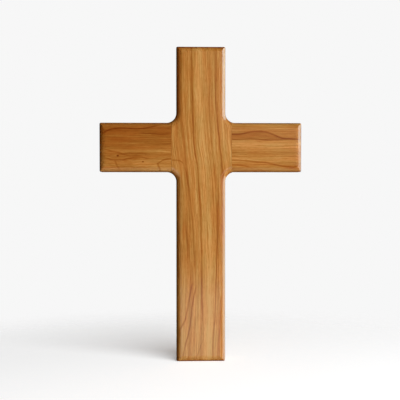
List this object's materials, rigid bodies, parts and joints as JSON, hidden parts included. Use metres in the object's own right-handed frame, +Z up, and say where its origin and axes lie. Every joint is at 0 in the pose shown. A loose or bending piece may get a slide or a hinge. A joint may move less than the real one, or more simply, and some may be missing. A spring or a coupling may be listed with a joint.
{
  "type": "altar cross",
  "caption": "Plain wooden altar cross with dowelled arms, rounded edges and hollow inner corners, standing free on the foot of its upright.",
  "frame": {"origin": "middle of the flat foot of the upright, on the surface that the cross stands on", "axes": "+Z up along the upright; +X along the arms, to the right for a person facing the front; the front face looks towards -Y"},
  "size_m": [0.1954, 0.025, 0.305],
  "materials": {
    "upright_wood": "open-grained honey-brown hardwood with dark streaks along the grain, clear satin lacquer",
    "left_arm_wood": "the same hardwood from a darker, red-brown board, grain along the arm, clear satin lacquer",
    "right_arm_wood": "the same hardwood from a lighter board, grain along the arm, clear satin lacquer",
    "dowel_beech": "plain beech, fluted and unfinished, hidden in the joints"
  },
  "bodies": {
    "root": {"upright": "upright_wood", "left_arm": "left_arm_wood", "right_arm": "right_arm_wood", "left_upper_dowel": "dowel_beech", "left_lower_dowel": "dowel_beech", "right_upper_dowel": "dowel_beech", "right_lower_dowel": "dowel_beech"}
  },
  "joints": []
}
